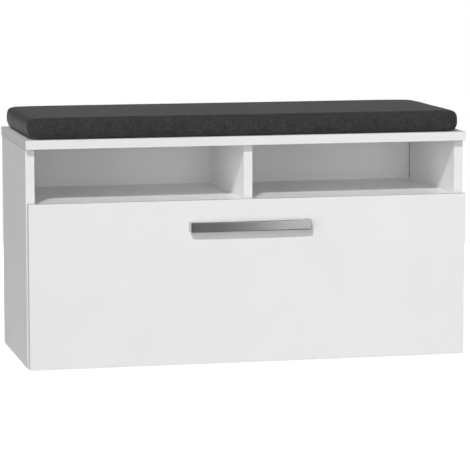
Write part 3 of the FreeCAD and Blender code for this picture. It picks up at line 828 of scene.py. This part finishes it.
def makePad(low, high, look):
    # the profile carried round the outline: one ring for each of its rows, inset and lifted as it says
    halfX, halfY = (high.x - low.x) / 2, (high.y - low.y) / 2
    middle = (low + high) / 2
    rings = []
    for inset, height in zip(*padProfile(halfY - cushion["middleGap"], high.z - low.z)):
        radius = max(cushion["corner"] - inset, 2 * mm)
        outline = roundOutline(halfX - inset, halfY - inset, radius, cushion["steps"])
        rings.append(np.column_stack([outline + (middle.x, middle.y), np.full(len(outline), low.z + height)]))
    points = np.stack(rings)
    pad = meshFrom("seatCushion", points.reshape(-1, 3), gridFaces(*points.shape[:2], caps=True), look)
    remesh = pad.modifiers.new("even", "REMESH")
    remesh.mode = "VOXEL"
    remesh.voxel_size = cushion["voxel"]
    remesh.use_smooth_shade = True
    applyModifiers(pad)
    return pad


def planNormals(points, low, high):
    # outward plan direction of the nearest outline point: straight out along the sides, turning at the
    # corners; the third result is how far out from the corner's middle the point lies
    middle = (low + high) / 2
    straightX = (high.x - low.x) / 2 - cushion["corner"]
    straightY = (high.y - low.y) / 2 - cushion["corner"]
    dx, dy = points[:, 0] - middle.x, points[:, 1] - middle.y
    ox = np.sign(dx) * np.maximum(np.abs(dx) - straightX, 0.0)
    oy = np.sign(dy) * np.maximum(np.abs(dy) - straightY, 0.0)
    length = np.maximum(np.hypot(ox, oy), 1e-6)
    return ox / length, oy / length, length


def evened(data, values, passes):
    # over and over, each point's value becomes the mean of itself and its neighbours' mean
    ends = np.empty(len(data.edges) * 2, np.int32)
    data.edges.foreach_get("vertices", ends)
    first, second = ends[::2], ends[1::2]
    count = np.bincount(ends, minlength=len(values))[:, None]
    for _ in range(passes):
        total = np.stack([np.bincount(first, values[second, axis], len(values))
                          + np.bincount(second, values[first, axis], len(values)) for axis in range(3)], 1)
        values = (values + total / count) / 2
    return values


def blownUp(pad, start):
    # where cloth simulation moves the cover's points, held at its underside and under pressure from inside
    held = pad.vertex_groups.new(name="held")
    heldPoints = np.nonzero(start[:, 2] < cushionLow.z + cushion["heldBelow"])[0]
    held.add(heldPoints.tolist(), 1.0, "REPLACE")
    cloth = pad.modifiers.new("cloth", "CLOTH")
    for name, value in cushion["cloth"].items():
        setattr(cloth.settings, name, value)
    cloth.settings.vertex_group_mass = "held"
    cloth.settings.effector_weights.gravity = 0.0
    cloth.collision_settings.use_collision = False
    cloth.point_cache.frame_start = 1
    cloth.point_cache.frame_end = cushion["frames"]
    for number in range(1, cushion["frames"] + 1):
        bpy.context.scene.frame_set(number)
    graph = bpy.context.evaluated_depsgraph_get()
    moved = readPoints(pad.evaluated_get(graph).data)
    bpy.context.scene.frame_set(1)
    pad.modifiers.clear()
    pad.vertex_groups.clear()
    return moved


def swell(pad, low, high):
    # the foam inside stops the cover from moving in or down, so only the outward and upward part of each
    # move counts; evened moves then level off at the cap: cap * tanh(reach / cap)
    start = readPoints(pad.data)
    step = blownUp(pad, start) - start
    print("cover moved by up to", round(float(np.abs(step).max()) / mm, 1), "mm before the foam's limits")
    nx, ny, _ = planNormals(start, low, high)
    inward = np.minimum(step[:, 0] * nx + step[:, 1] * ny, 0.0)
    step[:, 0] -= inward * nx
    step[:, 1] -= inward * ny
    step[:, 2] = np.maximum(step[:, 2], 0.0)
    step = evened(pad.data, step, cushion["even"])
    reach = np.linalg.norm(step, axis=1, keepdims=True)
    cap = cushion["cap"]
    kept = cap * np.tanh(reach / cap) / np.maximum(reach, 1e-9)
    writePoints(pad.data, start + step * kept)
    print("cushion swelled by up to", round(float((reach * kept).max()) / mm, 1), "mm")


def drawIn(pad, low, high):
    # the wall is drawn in along the seam, more at each gather, by a bell curve of the height from it, and
    # higher up by shallow waves, a sum of depth * sine
    points = readPoints(pad.data)
    points[:, 2] = np.maximum(points[:, 2], cushionLow.z + cushion["lift"])
    nx, ny, length = planNormals(points, low, high)
    run = np.arctan2(ny, nx) * seam["cornerRun"] + points[:, 0] * np.abs(ny) + points[:, 1] * np.abs(nx)
    turns = run * 2 * np.pi
    above = points[:, 2] - (cushionLow.z + seam["height"])
    gathers = 0.5 + 0.5 * np.sin(turns / seam["gatherEvery"] + 1.7 * np.sin(run / seam["gatherDrift"]))
    draw = np.exp(-(above / seam["reach"]) ** 2) * (seam["draw"] + seam["gather"] * gathers)
    wave = sum(depth * np.sin(turns / long + start) for depth, long, start in cushion["waves"])
    draw += np.exp(-((above - cushion["wavesAbove"]) / cushion["wavesReach"]) ** 2) * wave
    draw *= np.clip(length / cushion["corner"], 0, 1)
    points[:, 0] -= nx * draw
    points[:, 1] -= ny * draw
    writePoints(pad.data, points)


def unrollCloth(data, low, high):
    # clothPlace: plan position, carried on outward by the drop below the top once over the edge
    points = readPoints(data)
    nx, ny, length = planNormals(points, low, high)
    drop = np.maximum(high.z - points[:, 2], 0.0)
    edge = 12 * mm            # the carrying on comes in over this width, inside the corner radius
    weight = np.clip((length - (cushion["corner"] - edge)) / edge, 0.0, 1.0)
    unrolled = np.column_stack([points[:, 0] + nx * drop * weight, points[:, 1] + ny * drop * weight,
                                np.zeros(len(points))])
    attribute = data.attributes.new("clothPlace", "FLOAT_VECTOR", "POINT")
    attribute.data.foreach_set("vector", unrolled.astype(np.float32).ravel())


def makeCushion(look):
    low = cushionLow + Vector((1, 1, 0)) * cushion["start"]
    high = cushionHigh - Vector((1, 1, 1)) * cushion["start"]
    pad = makePad(low, high, look)
    swell(pad, low, high)
    finer = pad.modifiers.new("finer", "SUBSURF")
    finer.levels = 1
    finer.render_levels = 1
    applyModifiers(pad)
    drawIn(pad, low, high)
    unrollCloth(pad.data, low, high)
    smoothFaces(pad.data)
    return pad


def seamPath(pad):
    # the line where the cover meets the seam's height, found by looking inward from all round, then evened
    middle = (cushionLow + cushionHigh) / 2
    half = (cushionHigh - cushionLow) / 2
    search = seam["search"]
    surface = BVHTree.FromPolygons([v.co[:] for v in pad.data.vertices],
                                   [p.vertices[:] for p in pad.data.polygons])
    outside = roundOutline(half.x + search, half.y + search, cushion["corner"] + search, seam["steps"])
    inside = roundOutline(half.x - search, half.y - search, 2 * mm, seam["steps"])
    path = []
    for start, end in zip(outside, inside):
        place = Vector((start[0] + middle.x, start[1] + middle.y, cushionLow.z + seam["height"]))
        way = Vector((end[0] - start[0], end[1] - start[1], 0.0)).normalized()
        path.append(surface.ray_cast(place, way)[0][:])
    path = np.array(path)
    for _ in range(seam["evenings"]):
        path = (np.roll(path, 1, 0) + 2 * path + np.roll(path, -1, 0)) / 4
    return path


def makeSeam(pad, look):
    # a folded bead of cover cloth: an ellipse, beadOut * cos outward and beadUp * sin upward, carried round
    # the seam's path
    path = seamPath(pad)
    tangent = np.roll(path, -1, 0) - np.roll(path, 1, 0)
    tangent /= np.linalg.norm(tangent, axis=1, keepdims=True)
    outward = np.column_stack([tangent[:, 1], -tangent[:, 0], np.zeros(len(path))])
    upward = np.array([0.0, 0.0, 1.0])
    angles = np.linspace(0, 2 * np.pi, seam["beadSides"] + 1)[:-1, None]
    points = (path[:, None, :] + outward[:, None, :] * (np.cos(angles) * seam["beadOut"])
              + upward * (np.sin(angles) * seam["beadUp"]))
    faces = gridFaces(*points.shape[:2], joined=True)
    bead = meshFrom("cushionSeam", points.reshape(-1, 3), faces, look)
    faceOutward(bead.data)
    unrollCloth(bead.data, cushionLow, cushionHigh)
    smoothFaces(bead.data)
    return bead


fabricLook = {
    "yarnPitch": 0.95 * mm,
    "stops": [(0.36, (0.0160, 0.0160, 0.0163)), (0.50, (0.0330, 0.0330, 0.0333)),
              (0.66, (0.0730, 0.0730, 0.0733))],      # dark, middle and light yarn
    "rough": 0.86,
    "sheen": 0.20,
    "sheenRough": 0.30,
    "specular": 0.22,
    "weaveDepth": 0.22 * mm,
    "slubDepth": 0.25 * mm,
}


def melangeFabric(name):
    # plain weave of mixed light and dark yarn; clothPlace unrolls the cover from its top over its sides
    paint = Paint(name)
    cloth = paint.node("ShaderNodeAttribute", {"attribute_name": "clothPlace"}, {})["Vector"]
    along, across, _ = paint.split(cloth)
    turns = math.pi / fabricLook["yarnPitch"]
    wobble = paint.noise(140.0, 1.0, on=cloth) * 0.9
    warp = (along * turns + wobble).sine()
    weft = (across * turns + wobble).sine()
    # each crossing shows one yarn on top: the product of the two waves says which
    over = (warp * weft).ramp(-0.35, 0.35)
    warpBar = 1 - (along * (2 * turns) + wobble * 2).sine().absolute() * 0.6
    weftBar = 1 - (across * (2 * turns) + wobble * 2).sine().absolute() * 0.6
    height = warpBar * over + weftBar * (1 - over)
    # yarns change tone along their length, each one by itself
    warpTone = paint.noise(1050.0, 2.0, 0.7, (1.0, 0.055, 1.0), cloth)
    weftTone = paint.noise(1050.0, 2.0, 0.7, (0.055, 1.0, 1.0), cloth)
    tone = warpTone * over + weftTone * (1 - over)
    slub = paint.noise(210.0, 3.0, 0.65, (0.5, 1.0, 1.0), cloth)
    mottle = paint.noise(36.0, 3.0, 0.6, on=cloth)
    shade = tone * 0.74 + slub * 0.16 + mottle * 0.10
    fuzz = paint.noise(2600.0, 2.0, 0.7, on=cloth)
    soft = paint.bump(slub, fabricLook["slubDepth"], 0.35)
    return paint.set(color=paint.colours(shade, fabricLook["stops"]),
                     rough=fabricLook["rough"] + height * 0.08,
                     normal=paint.bump(height * 0.75 + fuzz * 0.25, fabricLook["weaveDepth"], 0.75, soft),
                     sheen=fabricLook["sheen"], sheenRough=fabricLook["sheenRough"],
                     specular=fabricLook["specular"])


fabric = melangeFabric("charcoalMelange")
pad = makeCushion(fabric)
bead = makeSeam(pad, fabric)
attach(pad, "carcass")
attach(bead, "carcass")
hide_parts("cushion_cover", "cushion_foam")
print("cushion made:", len(pad.data.polygons), "faces")


floorLook = {
    "radius": 1.6,
    "hub": 0.05,
    "rings": 8,
    "spokes": 96,
    "below": 0.2 * mm,        # under the glides
    "tooth": ((0.90, 0.90, 0.90), (0.94, 0.94, 0.94)),
    "glow": 0.96,             # brightens what the camera sees of it to the backdrop's white
    "bounce": (0.42, 0.42, 0.42),   # how pale it is for the light that it throws back on the bench
}


def makeFloor():
    # a round sheet under the bench: rings of points, radius * (cos, sin), from the rim inward
    angles = np.linspace(0, 2 * np.pi, floorLook["spokes"] + 1)[:-1]
    radii = np.linspace(floorLook["radius"], floorLook["hub"], floorLook["rings"])
    points = np.stack([np.outer(radii, np.cos(angles)), np.outer(radii, np.sin(angles)),
                       np.full((len(radii), len(angles)), -floorLook["below"])], 2).reshape(-1, 3)
    hub = list(range(len(points) - len(angles), len(points)))
    paint = Paint("paleFloor")
    seen = paint.node("ShaderNodeLightPath", {}, {})["Is Camera Ray"]
    pale = paint.mix(paint.noise(60.0), *floorLook["tooth"])
    look = paint.set(color=paint.mix(seen, floorLook["bounce"], pale), rough=0.9, specular=0.0,
                     glowColor=paint.mix(seen, (0.0, 0.0, 0.0), (1.0, 1.0, 1.0)), glow=floorLook["glow"])
    floor = meshFrom("studioFloor", points, gridFaces(len(radii), len(angles)) + [hub], look)
    floor.visible_shadow = False


makeFloor()
print("floor made")
